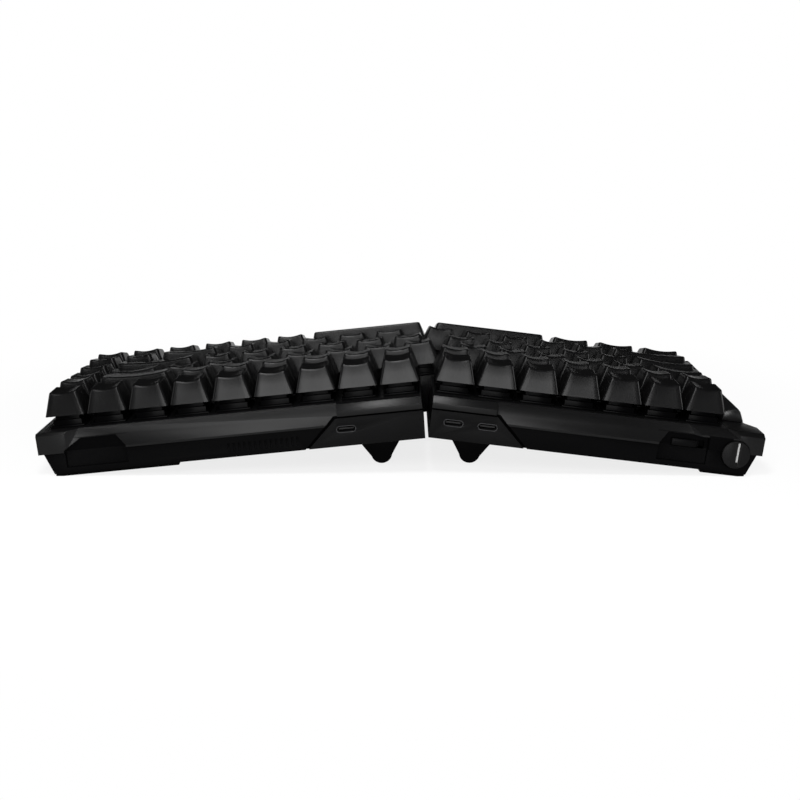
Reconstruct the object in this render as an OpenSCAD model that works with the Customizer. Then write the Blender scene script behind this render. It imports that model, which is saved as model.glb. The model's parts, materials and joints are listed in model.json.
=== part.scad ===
// Split keyboard in two tented halves. The typist sits on the -Y side.
// Each half is drawn outwards from the split line, so +X points to its outer end;
// the left half is the mirrored one. All lengths are millimetres.

/* [Key layout] */
// Distance between neighbouring key centres
key_pitch = 19.05; // [18.5:0.05:20]
// Free gap between two keycaps
key_gap = 0.95; // [0.6:0.05:1.4]
// How far a key travels when pressed
key_travel = 3.6; // [2:0.1:3.8]

/* [Keycaps] */
// Height of the skirt's lower edge above the switch plate
cap_float = 5.8; // [5.4:0.1:6.4]
// Thickness of a cap's side walls
cap_wall = 1.3; // [1:0.1:1.5]
// Thickness of a cap's top under the dish
cap_top_wall = 1.4; // [1:0.1:1.8]
// How far each side wall leans in over ten millimetres of height
cap_side_lean = 2.6; // [2:0.1:3]
// How far the rear wall leans in
cap_rear_lean = 2; // [1.5:0.1:2.5]
// How far the front wall leans in
cap_front_lean = 3; // [2:0.1:3.5]
// Depth of the finger dish
dish_depth = 1.1; // [0.4:0.1:1.2]

/* [Switches] */
// Side of the square cut-out in the switch plate
switch_cutout = 14; // [13.8:0.1:14.2]
// Width of the flange that rests on the plate
switch_flange = 15.6; // [15:0.1:16]
// Height of the housing above the plate
switch_height = 6.6; // [6.4:0.1:6.8]
// Width of the slider block, along a row
slider_w = 7; // [6.5:0.1:7.2]
// Depth of the slider block, across the rows
slider_d = 5.6; // [5.5:0.1:6]
// Free play round the slider in its housing
slider_play = 0.2; // [0.1:0.05:0.3]
// Length of the cross arms that hold a cap
cross_length = 4; // [3.8:0.1:4.2]
// Thickness of the cross arms
cross_thickness = 1.2; // [1:0.1:1.3]
// Height of the cross above the slider block
cross_height = 3.6; // [3:0.1:3.8]
// Fit clearance of the cross in a cap's socket, per side
cross_clearance = 0.05; // [0.02:0.01:0.1]

/* [Case] */
// Height of the switch plate above the base, at the rear key row
plate_height = 19; // [18:0.1:22]
// Slope of the key field towards the typist, in degrees
typing_angle = 2; // [0.5:0.1:2.5]
// Case behind the rear key row
rear_margin = 7.3; // [7:0.1:9]
// Case in front of the front key row
front_margin = 6; // [5.6:0.1:9]
// Case beyond the outer keys of the left half
left_margin = 17.2; // [17:0.1:19]
// Case beyond the outer keys of the right half
right_margin = 3; // [2.6:0.1:6]
// How far the inner walls stay back from the key cells
inner_setback = 0.4; // [0.2:0.05:0.5]
// Wall thickness along the staggered inner edge
inner_wall = 1.1; // [0.9:0.05:1.2]
// Wall thickness elsewhere
case_wall = 2; // [1.6:0.1:2.4]
// Thickness of the lower shell's floor
floor_thickness = 2; // [1.6:0.1:2.4]
// Height of the upper shell, down to the parting line
band_height = 9.6; // [9:0.1:10]
// How far the lower shell steps in below the parting line, at the rear
lower_step = 1; // [0.6:0.1:1.2]
// How far the lower shell steps in at the parting line, at the outer end
outer_step = 2.3; // [2:0.1:2.6]
// Extra lean of the lower shell's outer end, from the parting line to the base
outer_lean = 3.5; // [2:0.1:4]
// Depth of the slanted face behind the rear keys
slant_depth = 5.4; // [4:0.1:5.6]
// Height of the upright lip below the slanted face
lip_height = 1; // [0.6:0.1:1.4]
// Gap between the two halves' split lines at the base
half_gap = 0.5; // [0.3:0.1:3]

/* [Plate and board] */
// Thickness of the switch plate
plate_thickness = 1.5; // [1.2:0.1:1.6]
// Free play round the plate
plate_play = 0.1; // [0.05:0.05:0.15]
// Width of the ledge that carries the plate
plate_ledge = 0.8; // [0.5:0.05:0.85]
// How far the plate opening reaches past the key cells
plate_overlap = 0.6; // [0.4:0.1:0.8]
// Distance from the plate's top to the circuit board
board_depth = 5; // [4.8:0.1:5.2]
// Thickness of the circuit board
board_thickness = 1.6; // [1.2:0.1:1.6]
// Battery length along the rows
battery_length = 62; // [40:1:64]
// Battery width across the rows
battery_width = 34; // [20:1:36]
// Battery thickness
battery_thickness = 5; // [3:0.5:5.5]

/* [Ports] */
// Depth of the band's lip above the port panel
port_lip = 5.35; // [5:0.05:6]
// How far the port panel lies back from the rear face
panel_setback = 1; // [0.8:0.1:1.4]
// Thickness of the port panel
panel_thickness = 2.5; // [2:0.1:2.6]
// Depth of the socket centres below the plate's top
port_depth = 11.4; // [11:0.1:12]
// Width of a charging socket's shell
socket_w = 8.94; // [8.9:0.01:9]
// Height of a charging socket's shell
socket_h = 3.26; // [3.2:0.01:3.3]
// Length of a charging socket
socket_length = 7.3; // [6.8:0.1:7.4]
// Wall of a charging socket's shell
socket_wall = 0.3; // [0.25:0.05:0.35]

/* [Controls on the left half] */
// Radius of the dial on the rear face
dial_radius = 6.25; // [5.5:0.05:6.4]
// Distance of the dial's centre from the split line
dial_x = 138.6; // [138:0.1:139]
// Depth of the dial's centre below the plate's top
dial_depth = 10.3; // [10:0.1:10.6]
// How far the dial's face stands out of the rear face
dial_proud = 0.8; // [0.4:0.1:1.2]
// Radius of the dial's shaft
dial_shaft_radius = 2.5; // [2:0.1:3]
// Free play round the dial's rim
dial_play = 0.35; // [0.3:0.05:0.5]
// Centre of the mode switch, from the split line
slider_x = 116.9; // [116:0.1:118]
// Depth of the mode switch's centre below the plate's top
slider_depth = 8.2; // [8:0.1:8.4]
// Length of the mode switch's knob
knob_length = 11.2; // [9:0.1:11.4]
// Height of the mode switch's knob
knob_height = 3.2; // [2.6:0.1:3.4]
// How far the mode switch slides
knob_travel = 3.4; // [2:0.1:3.6]

/* [Side rail of the left half] */
// Rear end of the rail, ahead of the rear key edge
rail_rear = 14.5; // [12:0.5:20]
// Width of the rail on the deck
rail_width = 10.6; // [8:0.1:11]
// Height of the rail's outer crest
rail_height = 6.7; // [4:0.1:7.5]
// Rise of the rail's crest towards the front, in degrees
rail_rise = 1.16; // [0:0.02:1.5]
// How far the left case steps in beside the rail
rail_step = 4.3; // [3.8:0.1:5]

/* [Feet] */
// Height of a tent foot below the base
foot_height = 15.9; // [12:0.1:18]
// Half of the angle between a tent foot's sides, in degrees
foot_angle = 32; // [28:1:36]
// Radius of a tent foot's tip
foot_tip_radius = 4.9; // [3.5:0.1:5.5]
// Thickness of a tent foot
foot_thickness = 5; // [4:0.1:5]
// Distance of the tent feet from the split line
foot_x = 21.6; // [20:0.1:23]
// Distance of the rear foot's hinge ahead of the rear key edge
rear_foot_y = 15.5; // [14:0.1:18]
// Distance of the front foot's hinge ahead of the rear key edge
front_foot_y = 98; // [94:0.5:102]
// Radius of the hinge pins
pin_radius = 1; // [0.8:0.1:1.2]
// Running clearance round a hinge pin
pin_clearance = 0.05; // [0.02:0.01:0.1]
// Free room round a folded foot
foot_play = 0.4; // [0.3:0.05:0.6]
// Thickness of the rubber feet
rubber_thickness = 1.3; // [1:0.1:2]
// Width of the facet that stands on the desk
rubber_facet = 3; // [2:0.5:8]

/* [Fasteners] */
// Radius of a case screw's shank
screw_radius = 1; // [0.8:0.1:1.2]
// Radius of a case screw's head
screw_head_radius = 1.9; // [1.6:0.1:2]
// Height of a case screw's head
screw_head_height = 1.3; // [1:0.1:1.4]
// Clearance round a screw
screw_clearance = 0.1; // [0.05:0.05:0.15]

/* [Hidden] */
$fn = 48;
LEFT = 0;
RIGHT = 1;
eps = 0.01;
far = 400;

// Rows from the rear: heights of the caps' rear edges and slopes of their tops
row_count = 6;
cap_rear_top = [16.8, 18, 16.8, 17, 17.4, 16.7];
cap_tilt = [-1, 4.5, 4, 5, 8, 12];
// Where the split line runs in each row, in key units towards the right half
row_steps = [0, 0, -0.5, -0.25, 0.25, 0];
split_unit = 7;
half_units = [7, 9];
// Keys this long or longer have a flat top
flat_top_units = 3;

// Key groups: name, half, and runs of [row, first edge in units, key widths in units]
KEYS = [
  ["esc_key", LEFT, [[0, 0, [1]]]],
  ["f1_to_f6_keys", LEFT, [[0, 1, [1, 1, 1, 1, 1, 1]]]],
  ["left_number_keys", LEFT, [[1, 0, [1, 1, 1, 1, 1, 1, 1]]]],
  ["tab_key", LEFT, [[2, 0, [1.5]]]],
  ["left_upper_letter_keys", LEFT, [[2, 1.5, [1, 1, 1, 1, 1]]]],
  ["caps_lock_key", LEFT, [[3, 0, [1.75]]]],
  ["left_home_letter_keys", LEFT, [[3, 1.75, [1, 1, 1, 1, 1]]]],
  ["left_shift_key", LEFT, [[4, 0, [2.25]]]],
  ["left_lower_letter_keys", LEFT, [[4, 2.25, [1, 1, 1, 1, 1]]]],
  ["left_ctrl_key", LEFT, [[5, 0, [1.25]]]],
  ["left_system_key", LEFT, [[5, 1.25, [1.25]]]],
  ["left_alt_key", LEFT, [[5, 2.5, [1.25]]]],
  ["left_space_key", LEFT, [[5, 3.75, [3.25]]]],
  ["f7_to_f12_keys", RIGHT, [[0, 7, [1, 1, 1, 1, 1, 1]]]],
  ["right_number_keys", RIGHT, [[1, 7, [1, 1, 1, 1, 1, 1]]]],
  ["backspace_key", RIGHT, [[1, 13, [2]]]],
  ["right_upper_letter_keys", RIGHT, [[2, 6.5, [1, 1, 1, 1, 1, 1, 1]]]],
  ["backslash_key", RIGHT, [[2, 13.5, [1.5]]]],
  ["right_home_letter_keys", RIGHT, [[3, 6.75, [1, 1, 1, 1, 1, 1]]]],
  ["enter_key", RIGHT, [[3, 12.75, [2.25]]]],
  ["right_lower_letter_keys", RIGHT, [[4, 7.25, [1, 1, 1, 1, 1]]]],
  ["right_shift_key", RIGHT, [[4, 12.25, [1.75]]]],
  ["up_key", RIGHT, [[4, 14, [1]]]],
  ["right_space_key", RIGHT, [[5, 6.75, [3.25]]]],
  ["right_alt_key", RIGHT, [[5, 10, [1]]]],
  ["fn_key", RIGHT, [[5, 11, [1]]]],
  ["right_ctrl_key", RIGHT, [[5, 12, [1]]]],
  ["left_arrow_key", RIGHT, [[5, 13, [1]]]],
  ["down_key", RIGHT, [[5, 14, [1]]]],
  ["right_arrow_key", RIGHT, [[5, 15, [1]]]],
  ["navigation_keys", RIGHT,
    [[0, 13, [1, 1, 1]], [1, 15, [1]], [2, 15, [1]], [3, 15, [1]], [4, 15, [1]]]],
];

// Sum of the first n numbers of a list
function sum_first(list, n) = n <= 0 ? 0 : list[n - 1] + sum_first(list, n - 1);
// Every key of a group as [centre x, centre y, width in units, row]
function run_keys(half, run) = [for (i = [0:len(run[2]) - 1])
  let (u = run[1] + sum_first(run[2], i) + run[2][i] / 2)
  [(half == RIGHT ? 1 : -1) * (u - split_unit) * key_pitch, -(run[0] + 0.5) * key_pitch, run[2][i], run[0]]];
function group_keys(group) = [for (run = group[2]) each run_keys(group[1], run)];
function half_keys(half) = [for (k = KEYS) if (k[1] == half) each group_keys(k)];

// Plan outline: the staggered inner edge, pulled in by inset, and three straight sides
function split_x(half, row) = (half == RIGHT ? 1 : -1) * row_steps[row] * key_pitch;
function split_changes(half, row) =
  row < 0 || row >= row_count - 1 || split_x(half, row) != split_x(half, row + 1);
function step_y(half, row, inset) =
  -(row + 1) * key_pitch + inset * sign(split_x(half, row + 1) - split_x(half, row));
function outline(half, inset, rear, front, outer, side = 0) = concat(
  [for (r = [0:row_count - 1]) each concat(
    split_changes(half, r - 1)
      ? [[split_x(half, r) + inset, r == 0 ? rear : step_y(half, r - 1, inset)]] : [],
    split_changes(half, r)
      ? [[split_x(half, r) + inset, r == row_count - 1 ? front : step_y(half, r, inset)]] : [])],
  side > 0 ? [[side, front], [side, -rail_rear], [outer, -rail_rear + relief_run]] : [[outer, front]],
  [[outer, rear]]);

field_depth = row_count * key_pitch;
field_width = [half_units[LEFT] * key_pitch, half_units[RIGHT] * key_pitch];
outer_x = [field_width[LEFT] + left_margin, field_width[RIGHT] + right_margin];
front_y = -field_depth - front_margin;
opening_inset = inner_setback + inner_wall;
opening_front = -field_depth - plate_overlap;
opening_outer = [field_width[LEFT] + plate_overlap, field_width[RIGHT] + plate_overlap];
ledge_bottom = 2 * plate_thickness;
// The left case narrows beside its rail, over a short slanted run
relief_run = 6.5;
deck_side = [outer_x[LEFT] - rail_step, 0];
lower_setback = 0.6;
lower_outer = [outer_x[LEFT] - outer_step, outer_x[RIGHT] - outer_step];
base_outer = [lower_outer[LEFT] - outer_lean, lower_outer[RIGHT] - outer_lean];

// Each half stands on the rubber feet at its outer end and on two tent feet
rubber_length = [20, 56];
rubber_width = 9;
rubber_rear_y = 6.6;
rubber_inset = 0.4;
small_foot = [10, 22];
small_foot_x = 6;
rubber_outer = [base_outer[LEFT] - rubber_inset, base_outer[RIGHT] - rubber_inset];
contact_x = [rubber_outer[LEFT] - rubber_facet, rubber_outer[RIGHT] - rubber_facet];
tip_rise = foot_height - foot_tip_radius;
function tent(half) =
  let (run = contact_x[half] - foot_x, rise = tip_rise - rubber_thickness)
  atan2(rise, run) + asin(foot_tip_radius / sqrt(run * run + rise * rise));
function lift(half) = contact_x[half] * sin(tent(half)) + rubber_thickness * cos(tent(half));
// The whole keyboard is centred over the origin; the dial's grip rib reaches furthest back
dial_rib = [1.6, 10.4, 1];
dial_rib_base = 4.6;
function reach(half) = outer_x[half] * cos(tent(half)) + plate_height * sin(tent(half));
right_offset = (reach(LEFT) - reach(RIGHT) + half_gap) / 2;
half_offset = [half_gap - right_offset, right_offset];
rear_reach = (rear_margin + dial_proud + dial_rib[2]) * cos(typing_angle)
  + (dial_depth + dial_rib[1] / 2) * sin(typing_angle);
rail_front_height = rail_height / cos(rail_rise) - (front_y + rail_rear) * tan(rail_rise);
front_reach = -front_y * cos(typing_angle) + rail_front_height * sin(typing_angle);
depth_offset = (front_reach - rear_reach) / 2;

// Places of the screws along a half, at the rear and the front
rear_screw_y = 3;
front_screw_y = -field_depth - plate_overlap - (front_margin - plate_overlap) / 2;
rear_screws = [[60, 98, 130], [72, 120, 168]];
front_screws = [[12, 72, 140], [12, 90, 164]];
screw_cover = 6.5;
screw_top = plate_height - screw_cover;
boss_radius = 3;
head_setback = 0.4;

// Ports, diagonal ends of the port zones and recesses in the rear face
port_x = [[10.8, 26.2], [35.3]];
zone_x = [29.3, 38.7];
diagonal_strip = 3.5;
port_chamfer = [2.2, 2.8];
// The slanted face and the face over the dial end on oblique corners at these places
slant_end = [117, 156];
dial_face_end = 134;
dial_face_height = 3.2;
corner_chamfer = [[3, 1.4], [1, 1]];
recess_top = [[107.6, 126], [139.2, 155.3]];
recess_bottom = [[103.5, 126], [134.6, 162.7]];
recess_z = -3.9;
recess_base = -16.8;
recess_depth = 3.4;
panel_clearance = 0.1;
// Width and depth of the shadow groove round the port panel
panel_groove = [0.9, 1.4];
socket_clearance = 0.05;
tongue_size = [6.69, 4.6, 0.7];
shelf_width = 11;
shelf_clear = 0.2;
rib_first = 57;
rib_count = 14;
rib_pitch = 2.4;
rib_width = 1.1;
rib_depth = 0.7;
rib_z = [-16.8, -12.8];

// Room round the moving controls
slider_wall = 1.2;
slot_play = 0.3;
flange_margin = [1.6, 1.1];
flange_thickness = 1.4;
knob_proud = 1;
dial_thickness = 4;
shaft_length = 6;
shaft_play = 0.05;
dial_block_depth = shaft_length + 5;

// Rail section
rail_flare = 2.2;
rail_round = 1.9;
rail_fall = 1.9;
rail_inner_lean = 0.8;

// Tent feet
hinge_clear = 0.2;
hinge_z = foot_thickness / 2 + hinge_clear;
tip_tangent = foot_tip_radius / cos(foot_angle);
foot_half_width = (foot_height - foot_tip_radius) * tan(foot_angle) + tip_tangent;
pocket_depth = hinge_z + foot_thickness / 2 + foot_play;
pocket_wall = 2.2;
pin_grip = 1.8;
foot_head = 1.9;
head_chamfer = 1.2;
tip_blend = 0.94;

// Switches: slider block, boss of the cap and steps of the housing
slider_block = 4;
cap_boss_play = 0.15;
socket_spare = 0.2;
housing_step_z = 3.4;
housing_step = 13;
housing_top = 11;
flange_height = 1;
housing_play = 0.05;
well_spare = 0.5;
well_depth = slider_block + key_travel - switch_height + well_spare;

// Board and battery
board_inset = 0.4;
battery_x = 40;
battery_y = -39.5;

cap_color = [0.075, 0.075, 0.08];
case_color = [0.06, 0.06, 0.065];
dark_color = [0.03, 0.03, 0.032];
metal_color = [0.55, 0.55, 0.57];

// Frames: base with z = 0 on the underside of a half, plate with z = 0 on the switch plate
module at_base(half) {
  flip = half == LEFT ? 1 : 0;
  if (flip == 1) mirror([1, 0, 0]) stand(half) children();
  else stand(half) children();
}
module stand(half) {
  translate([half_offset[half], depth_offset, lift(half)]) rotate([0, tent(half), 0]) children();
}
module on_plate() {
  translate([0, 0, plate_height]) rotate([typing_angle, 0, 0]) children();
}
module at_plate(half) {
  at_base(half) on_plate() children();
}
// A flat shape in x and z, pulled along y from one y to another
module rear_slab(y0, y1) {
  translate([0, y1, 0]) rotate([90, 0, 0]) linear_extrude(y1 - y0) children();
}
// A profile in y and z, pulled along x
module long_slab(x0, x1) {
  translate([x0, 0, 0]) rotate([90, 0, 90]) linear_extrude(x1 - x0) children();
}
module stadium(w, h) {
  square([w - h, h], center = true);
  for (s = [-1, 1]) translate([s * (w - h) / 2, 0]) circle(d = h);
}

// Keycap: two crossed wedges, hollowed, with a dish and a socket for the cross
module cap_wedge(w, row, inset, drop, deepen) {
  hx = (w * key_pitch - key_gap) / 2 - inset;
  hy = (key_pitch - key_gap) / 2 - inset;
  rear = cap_rear_top[row] - drop;
  height = rear - cap_float;
  run = 2 * hy - cap_rear_lean - cap_front_lean;
  front = rear - run * tan(cap_tilt[row]);
  low = cap_float - deepen;
  tall = max(rear, front) - cap_float + 1;
  lean = cap_side_lean * tall / 10;
  intersection() {
    long_slab(-hx, hx) polygon(concat([[-hy, low], [hy, low]], deepen > 0 ? [[hy, cap_float]] : [],
      [[hy - cap_rear_lean, rear], [-hy + cap_front_lean, front]], deepen > 0 ? [[-hy, cap_float]] : []));
    rear_slab(-hy, hy) polygon(concat([[-hx, low], [hx, low]], deepen > 0 ? [[hx, cap_float]] : [],
      [[hx - lean, cap_float + tall], [-hx + lean, cap_float + tall]],
      deepen > 0 ? [[-hx, cap_float]] : []));
  }
}
module cap_dish(w, row) {
  hy = (key_pitch - key_gap) / 2;
  half_top = (w * key_pitch - key_gap) / 2 - cap_side_lean * (cap_rear_top[row] - cap_float) / 10;
  radius = (half_top * half_top + dish_depth * dish_depth) / (2 * dish_depth);
  translate([0, hy - cap_rear_lean, cap_rear_top[row]]) rotate([cap_tilt[row], 0, 0])
    translate([0, 0, radius - dish_depth]) rotate([90, 0, 0])
      cylinder(r = radius, h = 4 * key_pitch, center = true, $fn = 360);
}
module cross(length, thickness, height) {
  linear_extrude(height) union() {
    square([length, thickness], center = true);
    square([thickness, length], center = true);
  }
}
module keycap(w, row) {
  dish = w >= flat_top_units ? 0 : dish_depth;
  hy = (key_pitch - key_gap) / 2;
  middle = cap_rear_top[row] - (hy - cap_rear_lean) * tan(cap_tilt[row]) - dish;
  boss_radius_cap = slider_d / 2 - cap_boss_play;
  difference() {
    union() {
      difference() {
        cap_wedge(w, row, 0, 0, 0);
        if (dish > 0) cap_dish(w, row);
        cap_wedge(w, row, cap_wall, dish + cap_top_wall, 1);
      }
      translate([0, 0, switch_height])
        cylinder(r = boss_radius_cap, h = middle - switch_height - cap_top_wall / 2);
    }
    translate([0, 0, switch_height - eps])
      cross(cross_length + 2 * cross_clearance, cross_thickness + 2 * cross_clearance,
        cross_height + socket_spare);
  }
}
module key_slider() {
  translate([-slider_w / 2, -slider_d / 2, switch_height - slider_block])
    cube([slider_w, slider_d, slider_block]);
  translate([0, 0, switch_height]) cross(cross_length, cross_thickness, cross_height);
}
module keys(group) {
  at_plate(group[1]) for (k = group_keys(group)) translate([k[0], k[1], 0]) {
    color(cap_color) keycap(k[2], k[3]);
    color(dark_color) key_slider();
  }
}

// Switch housing: a body through the plate, a flange on it and a stepped top
module switch_housing() {
  body = switch_cutout - 2 * housing_play;
  difference() {
    union() {
      translate([-body / 2, -body / 2, -board_depth]) cube([body, body, board_depth]);
      translate([-switch_flange / 2, -switch_flange / 2, 0])
        cube([switch_flange, switch_flange, flange_height]);
      translate([-housing_step / 2, -housing_step / 2, flange_height - eps])
        cube([housing_step, housing_step, housing_step_z - flange_height]);
      translate([-housing_top / 2, -housing_top / 2, housing_step_z - 2 * eps])
        cube([housing_top, housing_top, switch_height - housing_step_z]);
    }
    translate([-slider_w / 2 - slider_play, -slider_d / 2 - slider_play, -well_depth])
      cube([slider_w + 2 * slider_play, slider_d + 2 * slider_play, switch_height + well_depth + 1]);
  }
}
module switch_housings(half) {
  color(dark_color) at_plate(half)
    for (k = half_keys(half)) translate([k[0], k[1], 0]) switch_housing();
}

module switch_plate(half) {
  color(metal_color) at_plate(half) translate([0, 0, -plate_thickness])
    linear_extrude(plate_thickness) difference() {
      polygon(outline(half, opening_inset + plate_play, plate_overlap - plate_play,
        opening_front + plate_play, opening_outer[half] - plate_play));
      for (k = half_keys(half)) translate([k[0], k[1]]) square(switch_cutout, center = true);
    }
}
module circuit_board(half) {
  color([0.02, 0.08, 0.05]) at_plate(half) translate([0, 0, -board_depth - board_thickness])
    linear_extrude(board_thickness) polygon(outline(half, opening_inset + board_inset,
      plate_overlap - board_inset, opening_front + board_inset, opening_outer[half] - board_inset));
}

// Upper shell
// Wedge cut off the rear edge; its outer end is oblique in plan
module rear_wedge(x0, x1, depth, height) {
  back = rear_margin - depth;
  intersection() {
    long_slab(x0, x1 + depth + 1) polygon([[back, eps], [rear_margin + 1, eps],
      [rear_margin + 1, -height - eps], [rear_margin, -height]]);
    translate([0, 0, -band_height - 1]) linear_extrude(band_height + 2) polygon([[x0 - 1, back - 1],
      [x1 - 1, back - 1], [x1 + depth + 1, rear_margin + 1], [x0 - 1, rear_margin + 1]]);
  }
}
module recess(half, low) {
  knee = -band_height + lip_height;
  rear_slab(rear_margin - recess_depth, rear_margin + 1) polygon([
    [recess_bottom[half][0], low], [recess_bottom[half][0], knee], [recess_top[half][0], recess_z],
    [recess_top[half][1], recess_z], [recess_bottom[half][1], knee], [recess_bottom[half][1], low]]);
}
module rear_cuts(half) {
  rear_wedge(-key_pitch, slant_end[half] - 1, port_chamfer[0], port_chamfer[1]);
  // long slanted face, which starts on the diagonal
  intersection() {
    rear_wedge(zone_x[half], slant_end[half], slant_depth, band_height - lip_height);
    translate([zone_x[half], 0, 0]) rotate([0, 45, 0]) translate([0, -far / 2, -far / 2])
      cube([far, far, far]);
  }
  if (half == LEFT) rear_wedge(slant_end[LEFT] - 1, dial_face_end, slant_depth, dial_face_height);
  rear_wedge(half == LEFT ? dial_face_end - 1 : slant_end[RIGHT] - 1, outer_x[half] + 1,
    corner_chamfer[half][0], corner_chamfer[half][1]);
  recess(half, -band_height - 1);
}
module port_zone(half, grow) {
  inner = -key_pitch;
  edge = zone_x[half] - diagonal_strip + grow;
  polygon([[inner, -port_lip + grow], [edge + port_lip, -port_lip + grow],
    [edge + 2 * plate_height, -2 * plate_height], [inner, -2 * plate_height]]);
}
module panel_cut(half) {
  rear_slab(rear_margin - panel_setback - panel_thickness, rear_margin + 2) port_zone(half, panel_clearance);
}
module dial_cut() {
  translate([dial_x, rear_margin + 2, -dial_depth]) rotate([90, 0, 0]) {
    cylinder(r = dial_radius + dial_play, h = 2 + dial_thickness - dial_proud + dial_play);
    cylinder(r = dial_shaft_radius + shaft_play, h = 2 + dial_thickness - dial_proud + shaft_length + 1);
  }
}
module mode_cuts() {
  slot_y = rear_margin - recess_depth;
  length = knob_length + knob_travel + 2 * slot_play;
  height = knob_height + 2 * slot_play;
  translate([slider_x - length / 2, slot_y - slider_wall - 1, -slider_depth - height / 2])
    cube([length, slider_wall + 3, height]);
  pocket_l = length + 2 * flange_margin[0];
  pocket_h = height + 2 * flange_margin[1];
  depth = flange_thickness + 2 * panel_clearance;
  translate([slider_x - pocket_l / 2, slot_y - slider_wall - depth, -slider_depth - pocket_h / 2])
    cube([pocket_l, depth, pocket_h]);
}
module screw_places(half) {
  for (x = rear_screws[half]) translate([x, rear_screw_y, 0]) children();
  for (x = front_screws[half]) translate([x, front_screw_y, 0]) children();
}
module top_case(half) {
  color(case_color) at_base(half) difference() {
    on_plate() difference() {
      translate([0, 0, -band_height]) linear_extrude(band_height)
        polygon(outline(half, inner_setback, rear_margin, front_y, outer_x[half], deck_side[half]));
      translate([0, 0, -plate_thickness]) linear_extrude(plate_thickness + 1)
        polygon(outline(half, opening_inset, plate_overlap, opening_front, opening_outer[half]));
      translate([0, 0, -ledge_bottom - 1]) linear_extrude(ledge_bottom + 2)
        polygon(outline(half, opening_inset + plate_ledge, plate_overlap - plate_ledge,
          opening_front + plate_ledge, opening_outer[half] - plate_ledge));
      translate([0, 0, -band_height - 1]) linear_extrude(band_height + 1 - ledge_bottom)
        polygon(outline(half, opening_inset, plate_overlap, opening_front, opening_outer[half]));
      rear_cuts(half);
      panel_cut(half);
      if (half == LEFT) {
        dial_cut();
        mode_cuts();
      }
    }
    screw_places(half) cylinder(r = screw_radius + screw_clearance, h = screw_top + screw_clearance);
  }
}

// Lower shell, in the base frame
module tray(half, inset, bottom) {
  intersection() {
    on_plate() translate([0, 0, -2 * plate_height]) linear_extrude(2 * plate_height - band_height)
      polygon(outline(half, inner_setback + (inset > 0 ? inner_wall : 0),
        rear_margin - lower_step - inset, front_y + inset, lower_outer[half] - inset,
        half == LEFT ? deck_side[LEFT] - lower_setback - inset : 0));
    translate([-far / 2, -far / 2, bottom]) cube([far, far, far]);
    rear_slab(-far / 2, far / 2) polygon([[-far / 2, -1], [base_outer[half] - inset, -1],
      [base_outer[half] - inset, 0], [2 * lower_outer[half] - base_outer[half] - inset,
      2 * (plate_height - band_height)], [-far / 2, 2 * (plate_height - band_height)]]);
  }
}
module foot_places() {
  translate([foot_x, -rear_foot_y, 0]) children();
  translate([foot_x, -front_foot_y, 0]) mirror([0, 1, 0]) children();
}
// Room that a foot sweeps while it folds forward from its upright place
module foot_pocket(grow, roof) {
  w = foot_half_width + foot_play + grow;
  back = foot_thickness / 2 + foot_play + grow;
  front = foot_height + hinge_z + foot_play + grow;
  translate([-w, -front, -1]) cube([2 * w, front + back, pocket_depth + roof + 1]);
}
module socket_shelf(half) {
  for (x = port_x[half]) on_plate()
    translate([x - shelf_width / 2, rear_margin - panel_setback - socket_length, -2 * plate_height])
      cube([shelf_width, socket_length - panel_thickness - shelf_clear,
        2 * plate_height - port_depth - socket_h / 2]);
}
// Wall behind the recess, and the block that carries the dial's shaft
module recess_backing(half) {
  start = recess_bottom[half][0] - case_wall;
  translate([start, rear_margin - recess_depth - case_wall, -2 * plate_height])
    cube([recess_bottom[half][1] + case_wall - start, recess_depth + case_wall, 2 * plate_height]);
}
module dial_block() {
  half_width = dial_radius + case_wall;
  translate([dial_x - half_width, rear_margin - lower_step - dial_block_depth, -2 * plate_height])
    cube([2 * half_width, dial_block_depth + 1, 2 * plate_height]);
}
module bottom_case(half) {
  color(dark_color) at_base(half) difference() {
    union() {
      difference() {
        tray(half, 0, 0);
        tray(half, case_wall, floor_thickness);
      }
      intersection() {
        tray(half, 0, 0);
        union() {
          foot_places() foot_pocket(pocket_wall, case_wall);
          screw_places(half) cylinder(r = boss_radius, h = far);
          socket_shelf(half);
          on_plate() recess_backing(half);
          if (half == LEFT) on_plate() dial_block();
        }
      }
    }
    foot_places() {
      foot_pocket(0, 0);
      translate([-foot_half_width - foot_play - pin_grip, 0, hinge_z]) rotate([0, 90, 0])
        cylinder(r = pin_radius, h = 2 * (foot_half_width + foot_play + pin_grip));
    }
    screw_places(half) {
      cylinder(r = screw_radius + screw_clearance, h = far);
      translate([0, 0, -1])
        cylinder(r = screw_head_radius + screw_clearance, h = 1 + head_setback + screw_head_height);
    }
    on_plate() {
      panel_cut(half);
      recess(half, recess_base);
      if (half == LEFT) {
        dial_cut();
        mode_cuts();
      }
      if (half == RIGHT) for (i = [0:rib_count - 1])
        translate([rib_first + i * rib_pitch, rear_margin - lower_step - rib_depth, rib_z[0]])
          cube([rib_width, rib_depth + 1, rib_z[1] - rib_z[0]]);
    }
  }
}
module port_panel(half) {
  face = rear_margin - panel_setback;
  color(dark_color) at_base(half) difference() {
    intersection() {
      on_plate() {
        rear_slab(face - panel_thickness, face - panel_groove[1]) port_zone(half, 0);
        rear_slab(face - panel_groove[1] - eps, face) port_zone(half, -panel_groove[0]);
      }
      translate([inner_setback, -far / 2, 0]) cube([far, far, far]);
    }
    for (x = port_x[half]) on_plate() translate([x, 0, -port_depth])
      rear_slab(0, rear_margin + 1)
        stadium(socket_w + 2 * socket_clearance, socket_h + 2 * socket_clearance);
  }
}
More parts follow.
